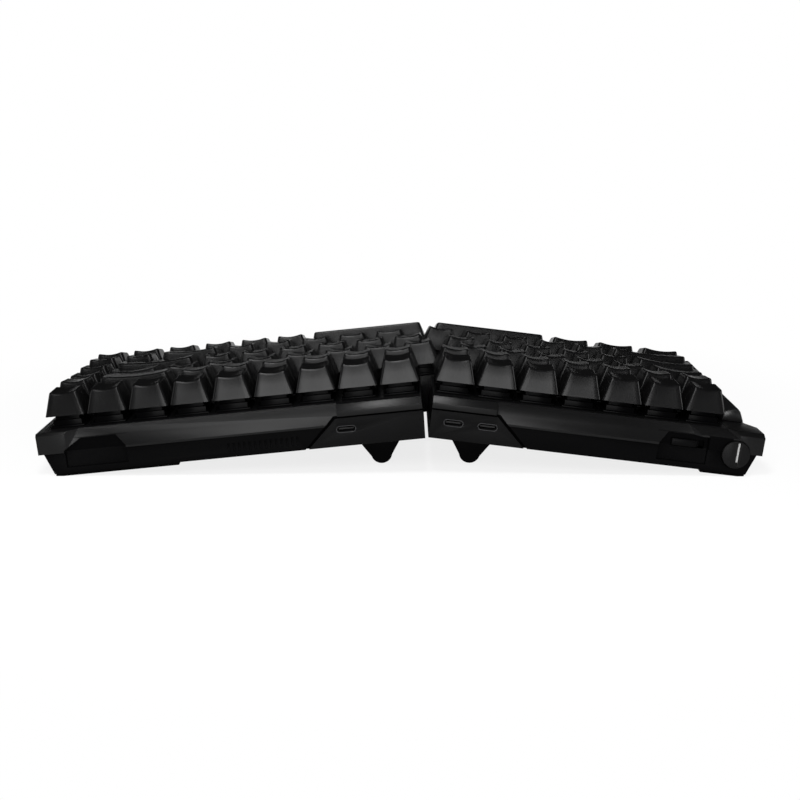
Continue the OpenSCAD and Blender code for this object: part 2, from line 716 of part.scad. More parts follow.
module usb_socket(half) {
  color(metal_color) at_plate(half) for (x = port_x[half]) translate([x, 0, -port_depth]) {
    mouth = rear_margin - panel_setback;
    difference() {
      rear_slab(mouth - socket_length, mouth) stadium(socket_w, socket_h);
      rear_slab(mouth - socket_length + socket_wall, mouth + 1)
        stadium(socket_w - 2 * socket_wall, socket_h - 2 * socket_wall);
    }
    translate([-tongue_size[0] / 2, mouth - socket_length, -tongue_size[2] / 2])
      cube([tongue_size[0], tongue_size[1] + 1, tongue_size[2]]);
  }
}
module battery(half) {
  color([0.25, 0.27, 0.3]) at_base(half)
    translate([battery_x, battery_y - battery_width, floor_thickness])
      cube([battery_length, battery_width, battery_thickness]);
}

// Rubber feet: two long ones at the outer end, cut to stand flat on the desk, and two small ones
module rubber_feet(half) {
  color([0.04, 0.04, 0.04]) at_base(half) difference() {
    union() {
      for (y = [rubber_rear_y - rubber_width, -field_depth])
        translate([rubber_outer[half] - rubber_length[half], y, -rubber_thickness])
          cube([rubber_length[half], rubber_width, rubber_thickness]);
      translate([small_foot_x, battery_y - (battery_width + small_foot[1]) / 2, -rubber_thickness])
        cube([small_foot[0], small_foot[1], rubber_thickness]);
    }
    translate([contact_x[half], 0, -rubber_thickness]) rotate([0, -tent(half), 0])
      translate([-eps, -far / 2, -far]) cube([far, far, far]);
  }
}
module case_screws(half) {
  color(metal_color) at_base(half) screw_places(half) {
    translate([0, 0, head_setback]) cylinder(r = screw_head_radius, h = screw_head_height);
    translate([0, 0, head_setback]) cylinder(r = screw_radius, h = screw_top - head_setback);
  }
}

// Tent foot: a plate with a V outline, a round tip and a chamfered head, hung on a pin
module foot_outline() {
  tip = -foot_height + foot_tip_radius;
  side = [tip_blend * foot_tip_radius * cos(foot_angle), tip_blend * foot_tip_radius * sin(foot_angle)];
  head = hinge_z + foot_head;
  translate([0, tip]) circle(r = foot_tip_radius);
  polygon([[side[0], tip - side[1]], [foot_half_width, 0], [foot_half_width, head],
    [-foot_half_width, head], [-foot_half_width, 0], [-side[0], tip - side[1]]]);
}
module tent_foot(half, place) {
  at_y = place == "rear" ? -rear_foot_y : -front_foot_y;
  w = foot_thickness / 2;
  head = hinge_z + foot_head;
  color([0.05, 0.05, 0.05]) at_base(half) translate([foot_x, at_y, 0]) difference() {
    intersection() {
      rear_slab(-w, w) foot_outline();
      long_slab(-foot_half_width, foot_half_width) polygon([[-w, -foot_height - 1],
        [w, -foot_height - 1], [w, head - head_chamfer], [w - head_chamfer, head],
        [head_chamfer - w, head], [-w, head - head_chamfer]]);
    }
    translate([-foot_half_width - 1, 0, hinge_z]) rotate([0, 90, 0])
      cylinder(r = pin_radius + pin_clearance, h = 2 * foot_half_width + 2);
  }
}
module tent_foot_pins(half) {
  color(metal_color) at_base(half) foot_places()
    translate([-foot_half_width - foot_play - pin_grip, 0, hinge_z]) rotate([0, 90, 0])
      cylinder(r = pin_radius, h = 2 * (foot_half_width + foot_play + pin_grip));
}

// Controls of the left half
module control_dial() {
  color([0.12, 0.12, 0.125]) at_plate(LEFT)
    translate([dial_x, rear_margin + dial_proud, -dial_depth]) rotate([90, 0, 0]) {
      cylinder(r = dial_radius, h = dial_thickness);
      cylinder(r = dial_shaft_radius, h = dial_thickness + shaft_length);
      translate([0, dial_rib[1] / 2, 0]) rotate([90, 0, 0]) linear_extrude(dial_rib[1])
        polygon([[-dial_rib_base / 2, 1], [-dial_rib_base / 2, 0], [-dial_rib[0] / 2, -dial_rib[2]],
          [dial_rib[0] / 2, -dial_rib[2]], [dial_rib_base / 2, 0], [dial_rib_base / 2, 1]]);
    }
}
// Rail along the left deck: its crest is at the outer side, which slopes down to the deck, and it
// rises towards the front
module left_side_rail() {
  outer = deck_side[LEFT];
  inner = outer - rail_width;
  length = -front_y - rail_rear;
  color(case_color) at_plate(LEFT) translate([0, -rail_rear, 0]) intersection() {
    rotate([-rail_rise, 0, 0]) rear_slab(-length - rail_height, rail_height) polygon([
      [inner, -rail_height], [outer, -rail_height], [outer, 0],
      [outer - rail_flare, rail_height - rail_round], [outer - rail_flare - rail_round, rail_height],
      [inner + rail_inner_lean, rail_height - rail_fall], [inner, 0]]);
    translate([inner - 1, -length, 0]) cube([rail_width + 2, length, 2 * rail_height]);
  }
}
module mode_slider() {
  rest = -knob_travel / 2;
  floor_y = rear_margin - recess_depth;
  flange_y = floor_y - slider_wall - panel_clearance - flange_thickness;
  color([0.1, 0.1, 0.105]) at_plate(LEFT) translate([slider_x + rest, 0, -slider_depth]) {
    translate([-knob_length / 2, flange_y + eps, -knob_height / 2])
      cube([knob_length, floor_y + knob_proud - flange_y, knob_height]);
    translate([-knob_length / 2 - flange_margin[0], flange_y, -knob_height / 2 - flange_margin[1]])
      cube([knob_length + 2 * flange_margin[0], flange_thickness, knob_height + 2 * flange_margin[1]]);
  }
}

bottom_case(LEFT);  // left_bottom_case
top_case(LEFT);  // left_top_case
port_panel(LEFT);  // left_port_panel
switch_plate(LEFT);  // left_switch_plate
circuit_board(LEFT);  // left_circuit_board
switch_housings(LEFT);  // left_switch_housings
battery(LEFT);  // left_battery
usb_socket(LEFT);  // left_usb_sockets
rubber_feet(LEFT);  // left_rubber_feet
case_screws(LEFT);  // left_case_screws
tent_foot(LEFT, "rear");  // left_rear_tent_foot
tent_foot(LEFT, "front");  // left_front_tent_foot
tent_foot_pins(LEFT);  // left_tent_foot_pins
control_dial();
left_side_rail();
mode_slider();
bottom_case(RIGHT);  // right_bottom_case
top_case(RIGHT);  // right_top_case
port_panel(RIGHT);  // right_port_panel
switch_plate(RIGHT);  // right_switch_plate
circuit_board(RIGHT);  // right_circuit_board
switch_housings(RIGHT);  // right_switch_housings
battery(RIGHT);  // right_battery
usb_socket(RIGHT);  // right_usb_socket
rubber_feet(RIGHT);  // right_rubber_feet
case_screws(RIGHT);  // right_case_screws
tent_foot(RIGHT, "rear");  // right_rear_tent_foot
tent_foot(RIGHT, "front");  // right_front_tent_foot
tent_foot_pins(RIGHT);  // right_tent_foot_pins
for (group = KEYS) keys(group);
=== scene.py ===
import json
import math

import bmesh
import bpy
from mathutils import Matrix, Vector

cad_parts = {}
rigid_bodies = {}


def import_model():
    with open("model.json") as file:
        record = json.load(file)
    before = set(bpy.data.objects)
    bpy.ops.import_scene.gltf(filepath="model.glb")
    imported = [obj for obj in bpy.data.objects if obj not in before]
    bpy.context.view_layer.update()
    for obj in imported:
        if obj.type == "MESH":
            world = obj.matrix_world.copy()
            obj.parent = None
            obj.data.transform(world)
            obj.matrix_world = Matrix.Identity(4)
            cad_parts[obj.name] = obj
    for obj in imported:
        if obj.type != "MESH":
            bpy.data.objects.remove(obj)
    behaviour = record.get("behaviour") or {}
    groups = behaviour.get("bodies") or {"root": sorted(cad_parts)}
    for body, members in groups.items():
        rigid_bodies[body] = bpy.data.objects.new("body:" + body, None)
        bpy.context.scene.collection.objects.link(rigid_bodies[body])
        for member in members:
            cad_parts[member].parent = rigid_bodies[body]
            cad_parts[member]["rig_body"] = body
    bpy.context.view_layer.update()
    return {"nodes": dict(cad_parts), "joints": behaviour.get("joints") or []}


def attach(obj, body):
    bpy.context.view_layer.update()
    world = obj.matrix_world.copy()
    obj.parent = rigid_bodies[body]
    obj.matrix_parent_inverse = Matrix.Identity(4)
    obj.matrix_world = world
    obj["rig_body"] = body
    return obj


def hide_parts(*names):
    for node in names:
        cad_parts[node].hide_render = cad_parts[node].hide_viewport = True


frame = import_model()


# Lower shells: black moulded trays under each half, with the foot pockets and the rib comb.
# Their coarse matte skin hardly catches the light, and all their edges are slightly rounded.
LOWER_BLACK = (0.0012, 0.0012, 0.0013)
LOWER_EDGE = 0.0004
MOTTLE_SCALE, MOTTLE = 45.0, 0.2
GRAIN_DEPTH = 0.00005
GLOSS_DRIFT = 0.08
FLAT_ANGLE, SHARP_ANGLE, SMOOTH_ANGLE = (math.radians(a) for a in (0.5, 25, 40))
SAME_CORNER, SAME_POINT = 2e-6, 5e-7


class Field:
    """A node socket that can be calculated with."""

    def __init__(self, tree, socket=None):
        self.tree = tree
        self.socket = socket

    def node(self, kind, outlet, inputs, **settings):
        """A new node's outlet, after its settings and then its sockets are set."""
        made = self.tree.nodes.new(kind)
        for key, value in settings.items():
            setattr(made, key, value)
        for key, value in inputs.items():
            if isinstance(value, Field):
                self.tree.links.new(value.socket, made.inputs[key])
            else:
                made.inputs[key].default_value = value
        return Field(self.tree, made.outputs[outlet])

    def math(self, operation, a, b):
        return self.node("ShaderNodeMath", 0, {0: a, 1: b}, operation=operation)

    def __add__(self, other):
        return self.math("ADD", self, other)

    __radd__ = __add__

    def __sub__(self, other):
        return self.math("SUBTRACT", self, other)

    def __rsub__(self, other):
        return self.math("SUBTRACT", other, self)

    def __mul__(self, other):
        return self.math("MULTIPLY", self, other)

    __rmul__ = __mul__

    def __gt__(self, other):
        return self.math("GREATER_THAN", self, other)

    def __lt__(self, other):
        return self.math("LESS_THAN", self, other)

    def __or__(self, other):
        return self.math("MAXIMUM", self, other)

    __ror__ = __or__


def skin(start, shade, roughness, gloss, grain=0.15, grain_size=0.0006, metal=0.0):
    """A moulded skin: one shade with a faint mottle, a fine grain and slightly uneven gloss."""
    place = start.node("ShaderNodeTexCoord", "Object", {})
    fine = start.node("ShaderNodeTexNoise", "Fac",
                      {"Vector": place, "Scale": 1 / grain_size, "Detail": 2.0})
    broad = start.node("ShaderNodeTexNoise", "Fac",
                       {"Vector": place, "Scale": MOTTLE_SCALE, "Detail": 3.0})
    darker, lighter = [(*[share * c for c in shade], 1) for share in (1 - MOTTLE, 1 + MOTTLE)]
    mottle = start.node("ShaderNodeMix", 2, {0: broad, 6: darker, 7: lighter}, data_type="RGBA")
    bump = start.node("ShaderNodeBump", "Normal",
                      {"Height": fine, "Strength": grain, "Distance": GRAIN_DEPTH})
    return start.node("ShaderNodeBsdfPrincipled", "BSDF", {
        "Base Color": mottle, "Normal": bump, "Specular IOR Level": gloss, "Metallic": metal,
        "Roughness": roughness - GLOSS_DRIFT / 2 + GLOSS_DRIFT * broad})


def material(name, make, *values, **options):
    """A material whose surface is what make returns."""
    made = bpy.data.materials.new(name)
    made.use_nodes = True
    tree = made.node_tree
    tree.nodes.remove(tree.nodes["Principled BSDF"])
    tree.links.new(make(Field(tree), *values, **options).socket,
                   tree.nodes["Material Output"].inputs["Surface"])
    return made


def eased(node, look, width):
    """A copy of a CAD node with its edges rounded by width, in metres, standing for that node."""
    source = frame["nodes"][node]
    mesh = source.data.copy()
    work = bmesh.new()
    work.from_mesh(mesh)
    bmesh.ops.remove_doubles(work, verts=work.verts, dist=SAME_CORNER)
    bmesh.ops.dissolve_limit(work, angle_limit=FLAT_ANGLE, verts=work.verts, edges=work.edges)
    sharp = [e for e in work.edges if len(e.link_faces) == 2 and e.calc_face_angle(0) > SHARP_ANGLE]
    bmesh.ops.bevel(work, geom=sharp, offset=width, offset_type="OFFSET", segments=2, profile=0.5,
                    affect="EDGES", clamp_overlap=True)
    bmesh.ops.remove_doubles(work, verts=work.verts, dist=SAME_POINT)
    work.to_mesh(mesh)
    work.free()
    if mesh.attributes.get("custom_normal"):
        mesh.attributes.remove(mesh.attributes["custom_normal"])
    mesh.shade_smooth()
    mesh.set_sharp_from_angle(angle=SMOOTH_ANGLE)
    piece = bpy.data.objects.new(node + "_eased", mesh)
    bpy.context.scene.collection.objects.link(piece)
    mesh.materials.clear()
    mesh.materials.append(look)
    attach(piece, source["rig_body"])
    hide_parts(node)


lower_plastic = material("lower_plastic", skin, LOWER_BLACK, roughness=0.55, gloss=0.015, grain=0.3)
for half in ("left", "right"):
    eased(half + "_bottom_case", lower_plastic, LOWER_EDGE)


# Battery packs and circuit boards: a foil pouch and a lacquered board lie inside each tray.
# Only their own materials are needed, because the shells close over them.
FOIL_GREY = (0.5, 0.5, 0.52)
BOARD_GREEN = (0.01, 0.02, 0.014)


def dress(node, look):
    """Gives a CAD node its material."""
    mesh = frame["nodes"][node].data
    mesh.materials.clear()
    mesh.materials.append(look)


pouch_foil = material("pouch_foil", skin, FOIL_GREY, roughness=0.35, gloss=0.5, metal=1.0)
board_lacquer = material("board_lacquer", skin, BOARD_GREEN, roughness=0.3, gloss=0.5)
for half in ("left", "right"):
    dress(half + "_battery", pouch_foil)
    dress(half + "_circuit_board", board_lacquer)


# Upper shells: dark grey frames round the keys, with the slanted rear band and the corner blocks.
# Their satin skin is a little lighter than the trays; the recesses and the field round the dial
# are painted black as painted shade.
UPPER_GREY = (0.003, 0.003, 0.0031)
PAINTED_SHADE_BLACK = (0.001, 0.001, 0.0011)
UPPER_EDGE = 0.0005
PLATE_HEIGHT = 19.0
FOOT_X, FOOT_Y, HINGE_Z = 21.6, -15.5, 2.7
RECESS_DEEP, RECESS_TOP = 4.3, -3.6
RECESS_SPAN = {"left": (103, 127), "right": (134, 164)}
FIELD_SPAN, FIELD_TOP = (125.5, 136.5), -3.1


def half_matrix(half):
    """From a half's plate frame, in millimetres and drawn outwards, to the row frame in metres."""
    joints = {j["name"]: j for j in frame["joints"]}
    fold = joints[half + "_rear_tent_foot_fold"]
    out = Vector(fold["axis"]).normalized()
    if (out.x > 0) != (half == "right"):
        out = -out
    key = {"left": "esc_key_press", "right": "backspace_key_press"}[half]
    up = -Vector(joints[key]["axis"]).normalized()
    rear = up.cross(out)
    if rear.y < 0:
        rear = -rear
    flat_rear = Vector((0, 1, 0))
    base_up = out.cross(flat_rear) if half == "right" else flat_rear.cross(out)
    origin = (Vector(fold["pos_m"]) - 0.001 * (FOOT_X * out + FOOT_Y * flat_rear + HINGE_Z * base_up)
              + 0.001 * PLATE_HEIGHT * base_up)
    turn = Matrix((out, rear, up)).transposed().to_4x4()
    return Matrix.Translation(origin) @ turn @ Matrix.Diagonal((0.001, 0.001, 0.001, 1))


def plate_place(start, half):
    """Where a surface point lies in a half's plate frame: outwards, to the rear and up."""
    matrix = half_matrix(half)
    place = start.node("ShaderNodeTexCoord", "Object", {})
    from_origin = start.node("ShaderNodeVectorMath", "Vector",
                             {0: place, 1: matrix.translation}, operation="SUBTRACT")
    return [1000 * start.node("ShaderNodeVectorMath", "Value", {
        0: from_origin, 1: matrix.col[k].xyz.normalized()}, operation="DOT_PRODUCT") for k in range(3)]


def upper_skin(start, half):
    """Grey skin, with black painted shade in the recess and round the dial."""
    out, rear, up = plate_place(start, half)
    low, high = RECESS_SPAN[half]
    # painted shade: the recess, and on the left half the field round the dial, are painted black
    black = (out > low) * (out < high) * (rear < RECESS_DEEP) * (up < RECESS_TOP)
    if half == "left":
        black = black | (out > FIELD_SPAN[0]) * (out < FIELD_SPAN[1]) * (up < FIELD_TOP)
    return start.node("ShaderNodeMixShader", 0, {
        0: black, 1: skin(start, UPPER_GREY, roughness=0.34, gloss=0.12),
        2: skin(start, PAINTED_SHADE_BLACK, roughness=0.5, gloss=0.012, grain=0.3)})


for half in ("left", "right"):
    upper_plastic = material(half + "_upper_plastic", upper_skin, half)
    eased(half + "_top_case", upper_plastic, UPPER_EDGE)


# Side rail: the raised rest beside the left keys, coloured a shade lighter than the upper shell.
# Its crest is rounded and smoother than the deck.
RAIL_GREY = (0.005, 0.005, 0.0052)
RAIL_EDGE = 0.0009
rail_plastic = material("rail_plastic", skin, RAIL_GREY, roughness=0.3, gloss=0.25)
eased("left_side_rail", rail_plastic, RAIL_EDGE)


# Port panels: set-back black plates with the mouths of the charging sockets.
# A deep groove runs round them; in it and behind it the skin is painted near-black as painted shade.
PANEL_FACE, GROOVE = 6.3, 0.5
PANEL_EDGE = 0.00025
PANEL_FRONT = dict(shade=(0.003, 0.003, 0.0031), roughness=0.5, gloss=0.025)
PANEL_PAINTED_SHADE = dict(shade=(0.0005, 0.0005, 0.0005), roughness=0.7, gloss=0.005)


def sunk(start, half, face, front, deep):
    """The front skin, and the deep one, darker as painted shade, behind a plane that lies across the
    half.
    """
    rear = plate_place(start, half)[1]
    return start.node("ShaderNodeMixShader", 0, {
        0: rear < face, 1: skin(start, **front), 2: skin(start, **deep)})


for half in ("left", "right"):
    panel_plastic = material(half + "_panel_plastic", sunk, half, PANEL_FACE - GROOVE,
                             PANEL_FRONT, PANEL_PAINTED_SHADE)
    eased(half + "_port_panel", panel_plastic, PANEL_EDGE)


# Charging sockets: drawn steel shells with a black tongue, pushed through the port panels.
# Seen from behind only their rims catch the light; behind the rim the skin is black, the tongue's own
# black and painted shade inside the shells.
RIM = 0.2
RIM_STEEL = dict(shade=(0.03, 0.03, 0.031), roughness=0.35, gloss=0.5, grain=0.1, metal=1.0)
TONGUE_BLACK_AND_SHADE = dict(shade=(0.01, 0.01, 0.0103), roughness=0.4, gloss=0.1)
for half, node in (("left", "left_usb_sockets"), ("right", "right_usb_socket")):
    dress(node, material(half + "_socket_steel", sunk, half, PANEL_FACE - RIM, RIM_STEEL, TONGUE_BLACK_AND_SHADE))


# Switch plates and switches: a satin black steel plate carries a black switch under every key.
# The housings are smooth and stand in the shade of the caps; their black is deeper than the caps', partly
# painted shade.
PLATE_BLACK = (0.003, 0.003, 0.0031)
SWITCH_BLACK_AND_SHADE = (0.001, 0.001, 0.0011)
HOUSING_EDGE = 0.0002
plate_paint = material("plate_paint", skin, PLATE_BLACK, roughness=0.22, gloss=0.1, grain=0.05)
switch_plastic = material("switch_plastic", skin, SWITCH_BLACK_AND_SHADE, roughness=0.25, gloss=0.02, grain=0.05)
for half in ("left", "right"):
    dress(half + "_switch_plate", plate_paint)
    eased(half + "_switch_housings", switch_plastic, HOUSING_EDGE)


# Keycaps: sculpted black caps with dished tops and rounded lips, one height and slope per row.
# Each sits on the cross of its switch slider; the space bars are flat on top.
KEY_BLACK = (0.003, 0.003, 0.0031)
PITCH = 19.05
GAP = 0.95
REAR_TOP = (16.8, 18.0, 16.8, 17.0, 17.4, 16.7)
TILT = (-1, 4.5, 4, 5, 8, 12)
FLOAT = 5.8
SIDE_LEAN = 0.26
REAR_LEAN, FRONT_LEAN = 2.0, 3.0
DISH = 1.1
LIP = 1.0
WALL, ROOF, ROOF_INSET = 1.3, 2.3, 0.5
SKIRT_ROUND, TOP_ROUND, INNER_ROUND = 0.9, 1.3, 0.6
SIDE_STEPS, ARC_STEPS, STEPS_PER_UNIT = 6, 5, 8
FLAT_TOP_UNITS = 3
SWITCH_HEIGHT = 6.6
SLIDER_WIDE, SLIDER_DEEP, SLIDER_BLOCK = 7.0, 5.6, 4.0
BOSS, BOSS_BELOW = 4.6, 4.6
CAP_SMOOTH_ANGLE = math.radians(50)


def rounded_loop(x0, x1, y0, y1, radius, along_x):
    """Points round a rectangle with round corners, anticlockwise from the lower right corner."""
    points = []
    corners = (((x1, y0), -90), ((x1, y1), 0), ((x0, y1), 90), ((x0, y0), 180))
    steps = (SIDE_STEPS, along_x, SIDE_STEPS, along_x)
    for index, ((cx, cy), turn) in enumerate(corners):
        sx = -1 if cx == x1 else 1
        sy = 1 if cy == y0 else -1
        centre = (cx + sx * radius, cy + sy * radius)
        for k in range(ARC_STEPS + 1):
            a = math.radians(turn + 90 * k / ARC_STEPS)
            points.append((centre[0] + radius * math.cos(a), centre[1] + radius * math.sin(a)))
        (nx, ny), after = corners[(index + 1) % 4]
        sx = -1 if nx == x1 else 1
        sy = 1 if ny == y0 else -1
        a = math.radians(after)
        end = (nx + sx * radius + radius * math.cos(a), ny + sy * radius + radius * math.sin(a))
        begin = points[-1]
        for k in range(1, steps[index]):
            t = k / steps[index]
            points.append((begin[0] + (end[0] - begin[0]) * t, begin[1] + (end[1] - begin[1]) * t))
    return points


def keycap(work, matrix, x, y, units, row):
    """Adds one keycap and its slider to work."""
    hx = (units * PITCH - GAP) / 2
    hy = (PITCH - GAP) / 2
    rear = REAR_TOP[row]
    slope = math.tan(math.radians(TILT[row]))
    lean = SIDE_LEAN * (rear - FLOAT)
    tx, ty0, ty1 = hx - lean, -hy + FRONT_LEAN, hy - REAR_LEAN
    dish = 0.0 if units >= FLAT_TOP_UNITS else DISH
    along_x = int(units * STEPS_PER_UNIT)

    def top(px, py):
        s = min(1.0, abs(px / tx))
        return rear - (ty1 - py) * slope - dish * (1 - s * s)

    def ring(grow, radius):
        return rounded_loop(-tx - grow, tx + grow, ty0 - grow, ty1 + grow, radius, along_x)

    def skirt(inset, radius):
        loop = rounded_loop(-hx + inset, hx - inset, -hy + inset, hy - inset, radius, along_x)
        return [Vector((px, py, FLOAT)) for px, py in loop]

    bottom = skirt(0, SKIRT_ROUND)
    edge = [Vector((px, py, top(px, py))) for px, py in ring(0, TOP_ROUND)]
    rest = [Vector((px, py, top(px, py))) for px, py in ring(-LIP, INNER_ROUND)]
    rings = []
    # outside wall, up to where the lip starts to round over
    for share in (0.0, 0.5, 1.0):
        rings.append([b.lerp(u - LIP * (u - b).normalized(), share) for b, u in zip(bottom, edge)])
    # rounded lip
    for k in (0.2, 0.4, 0.6, 0.8, 1.0):
        rings.append([(1 - k) ** 2 * wall + 2 * k * (1 - k) * u + k * k * r
                      for wall, u, r in zip(rings[2], edge, rest)])
    # dished top
    middle = Vector((0, (ty0 + ty1) / 2, 0))
    for scale in (0.8, 0.6, 0.4, 0.15):
        rings.append([])
        for r in rest:
            p = middle + scale * (Vector((r.x, r.y, 0)) - middle)
            rings[-1].append(Vector((p.x, p.y, top(p.x, p.y))))
    # inside of the skirt
    inside = [[Vector((px, py, top(px, py) - ROOF)) for px, py in ring(-ROOF_INSET, INNER_ROUND)],
              skirt(WALL, INNER_ROUND)]
    place = matrix @ Matrix.Translation((x, y, 0))
    made = [[work.verts.new(place @ p) for p in loop] for loop in inside + rings]
    count = len(bottom)
    for low, high in zip(made, made[1:]):
        for k in range(count):
            work.faces.new((low[k], low[(k + 1) % count], high[(k + 1) % count], high[k]))
    work.faces.new(made[-1])
    work.faces.new(made[0][::-1])
    # switch slider under the cap
    for w, d, z0, z1 in ((SLIDER_WIDE, SLIDER_DEEP, SWITCH_HEIGHT - SLIDER_BLOCK, SWITCH_HEIGHT),
                         (BOSS, BOSS, SWITCH_HEIGHT, rear - BOSS_BELOW)):
        bmesh.ops.create_cube(work, size=1, matrix=place @ Matrix.Translation((0, 0, (z0 + z1) / 2))
                              @ Matrix.Diagonal((w, d, z1 - z0, 1)))


key_plastic = material("key_plastic", skin, KEY_BLACK, roughness=0.24, gloss=0.12, grain=0.05)
# half, node, and its runs of keys: row from the rear, left edge in key units, widths
KEYS = (
    ("left", "esc_key", ((0, 0, (1,)),)),
    ("left", "f1_to_f6_keys", ((0, 1, (1,) * 6),)),
    ("left", "left_number_keys", ((1, 0, (1,) * 7),)),
    ("left", "tab_key", ((2, 0, (1.5,)),)),
    ("left", "left_upper_letter_keys", ((2, 1.5, (1,) * 5),)),
    ("left", "caps_lock_key", ((3, 0, (1.75,)),)),
    ("left", "left_home_letter_keys", ((3, 1.75, (1,) * 5),)),
    ("left", "left_shift_key", ((4, 0, (2.25,)),)),
    ("left", "left_lower_letter_keys", ((4, 2.25, (1,) * 5),)),
    ("left", "left_ctrl_key", ((5, 0, (1.25,)),)),
    ("left", "left_system_key", ((5, 1.25, (1.25,)),)),
    ("left", "left_alt_key", ((5, 2.5, (1.25,)),)),
    ("left", "left_space_key", ((5, 3.75, (3.25,)),)),
    ("right", "f7_to_f12_keys", ((0, 7, (1,) * 6),)),
    ("right", "right_number_keys", ((1, 7, (1,) * 6),)),
    ("right", "backspace_key", ((1, 13, (2,)),)),
    ("right", "right_upper_letter_keys", ((2, 6.5, (1,) * 7),)),
    ("right", "backslash_key", ((2, 13.5, (1.5,)),)),
    ("right", "right_home_letter_keys", ((3, 6.75, (1,) * 6),)),
    ("right", "enter_key", ((3, 12.75, (2.25,)),)),
    ("right", "right_lower_letter_keys", ((4, 7.25, (1,) * 5),)),
    ("right", "right_shift_key", ((4, 12.25, (1.75,)),)),
    ("right", "up_key", ((4, 14, (1,)),)),
    ("right", "right_space_key", ((5, 6.75, (3.25,)),)),
    ("right", "right_alt_key", ((5, 10, (1,)),)),
    ("right", "fn_key", ((5, 11, (1,)),)),
    ("right", "right_ctrl_key", ((5, 12, (1,)),)),
    ("right", "left_arrow_key", ((5, 13, (1,)),)),
    ("right", "down_key", ((5, 14, (1,)),)),
    ("right", "right_arrow_key", ((5, 15, (1,)),)),
    ("right", "navigation_keys",
     ((0, 13, (1, 1, 1)), (1, 15, (1,)), (2, 15, (1,)), (3, 15, (1,)), (4, 15, (1,)))),
)
SPLIT = 7
for half, node, runs in KEYS:
    work = bmesh.new()
    for row, edge, widths in runs:
        for units in widths:
            out = (edge + units / 2 - SPLIT) * PITCH * (1 if half == "right" else -1)
            keycap(work, half_matrix(half), out, -(row + 0.5) * PITCH, units, row)
            edge += units
    bmesh.ops.recalc_face_normals(work, faces=work.faces)
    mesh = bpy.data.meshes.new(node + "_caps")
    work.to_mesh(mesh)
    work.free()
    mesh.materials.append(key_plastic)
    mesh.shade_smooth()
    mesh.set_sharp_from_angle(angle=CAP_SMOOTH_ANGLE)
    caps = bpy.data.objects.new(node + "_caps", mesh)
    bpy.context.scene.collection.objects.link(caps)
    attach(caps, node)
    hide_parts(node)


# Control dial: a turned grey knob on the left half's corner with one grip rib.
# A pale grey line is let into the rib's crest; the shaft runs back into the tray.
LINE_WIDTH, LINE_LENGTH, LINE_PROUD = 0.8, 8.8, 0.06
LINE_RAISE, LINE_OUT = 1.4, 0.3
LINE_EDGE = 0.00004
DIAL_GREY = (0.004, 0.004, 0.0041)
LINE_PALE = (0.25, 0.25, 0.248)
DIAL_EDGE = 0.0003


def inlay(name, body, look, matrix, size):
    """A thin rounded strip, flush in a face apart from a trace."""
    work = bmesh.new()
    bmesh.ops.create_cube(work, size=1, matrix=matrix @ Matrix.Diagonal((*size, 1)))
    bmesh.ops.bevel(work, geom=work.edges, offset=LINE_EDGE, segments=2, profile=0.5, affect="EDGES")
    mesh = bpy.data.meshes.new(name)
    work.to_mesh(mesh)
    work.free()
    mesh.materials.append(look)
    piece = bpy.data.objects.new(name, mesh)
    bpy.context.scene.collection.objects.link(piece)
    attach(piece, body)


control_plastic = material("control_plastic", skin, DIAL_GREY, roughness=0.4, gloss=0.06)
eased("control_dial", control_plastic, DIAL_EDGE)
line_paint = material("line_paint", skin, LINE_PALE, roughness=0.5, gloss=0.1, grain=0.05)
dial_turn = [j for j in frame["joints"] if j["name"] == "control_dial_turn"][0]
to_plate = half_matrix("left").inverted()
dial_at = to_plate @ Vector(dial_turn["pos_m"])
rib_face = max((to_plate @ v.co).y for v in frame["nodes"]["control_dial"].data.vertices)
line_at = Matrix.Translation((dial_at.x + LINE_OUT, rib_face, dial_at.z + LINE_RAISE))
inlay("dial_line", "control_dial", line_paint, half_matrix("left") @ line_at,
      (LINE_WIDTH, 2 * LINE_PROUD, LINE_LENGTH))


# Mode slider: a black moulded knob that slides in the left half's recess.
# A flange behind the recess wall holds it.
KNOB_BLACK = (0.0015, 0.0015, 0.0016)
KNOB_EDGE = 0.0005
slider_plastic = material("slider_plastic", skin, KNOB_BLACK, roughness=0.4, gloss=0.03)
eased("mode_slider", slider_plastic, KNOB_EDGE)


# Feet and fasteners: black rubber pads, fold-out plastic feet on steel pins, and steel case screws.
# They touch the desk or hide under the trays.
RUBBER_BLACK = (0.001, 0.001, 0.001)
FOOT_BLACK = (0.001, 0.001, 0.0011)
STEEL_GREY = (0.5, 0.5, 0.52)
FOOT_EDGE = 0.0006
rubber = material("rubber", skin, RUBBER_BLACK, roughness=0.8, gloss=0.01, grain=0.3)
foot_plastic = material("foot_plastic", skin, FOOT_BLACK, roughness=0.45, gloss=0.015)
steel = material("steel", skin, STEEL_GREY, roughness=0.3, gloss=0.5, metal=1.0)
for half in ("left", "right"):
    dress(half + "_rubber_feet", rubber)
    dress(half + "_case_screws", steel)
    dress(half + "_tent_foot_pins", steel)
    for end in ("rear", "front"):
        eased("%s_%s_tent_foot" % (half, end), foot_plastic, FOOT_EDGE)


# Floor and backdrop: a plain pale surface that looks white in the photograph and in reflections.
# The backdrop's foot is lit; above it and on the camera's side the room stays dim.
FLOOR_HALF = 6
PAPER_TINTS = (0.74, 0.74, 0.74, 1), (0.78, 0.78, 0.78, 1)
FIBRE_SCALE = 900.0
SHADOW_NEAR, SHADOW_REACH, SHADOW_SHARE = 0.1, 0.3, 0.2
WHITE_NEAR, WHITE_REACH = 0.4, 1.0
BEHIND_FROM, BEHIND_TO = -0.05, 0.15
FOOT_HIGH = 0.03
PURE_WHITE = (1, 1, 1, 1)
ROOM_LIGHT, ROOM_DIM, ROOM_WHITE = 0.12, 0.01, 1.0


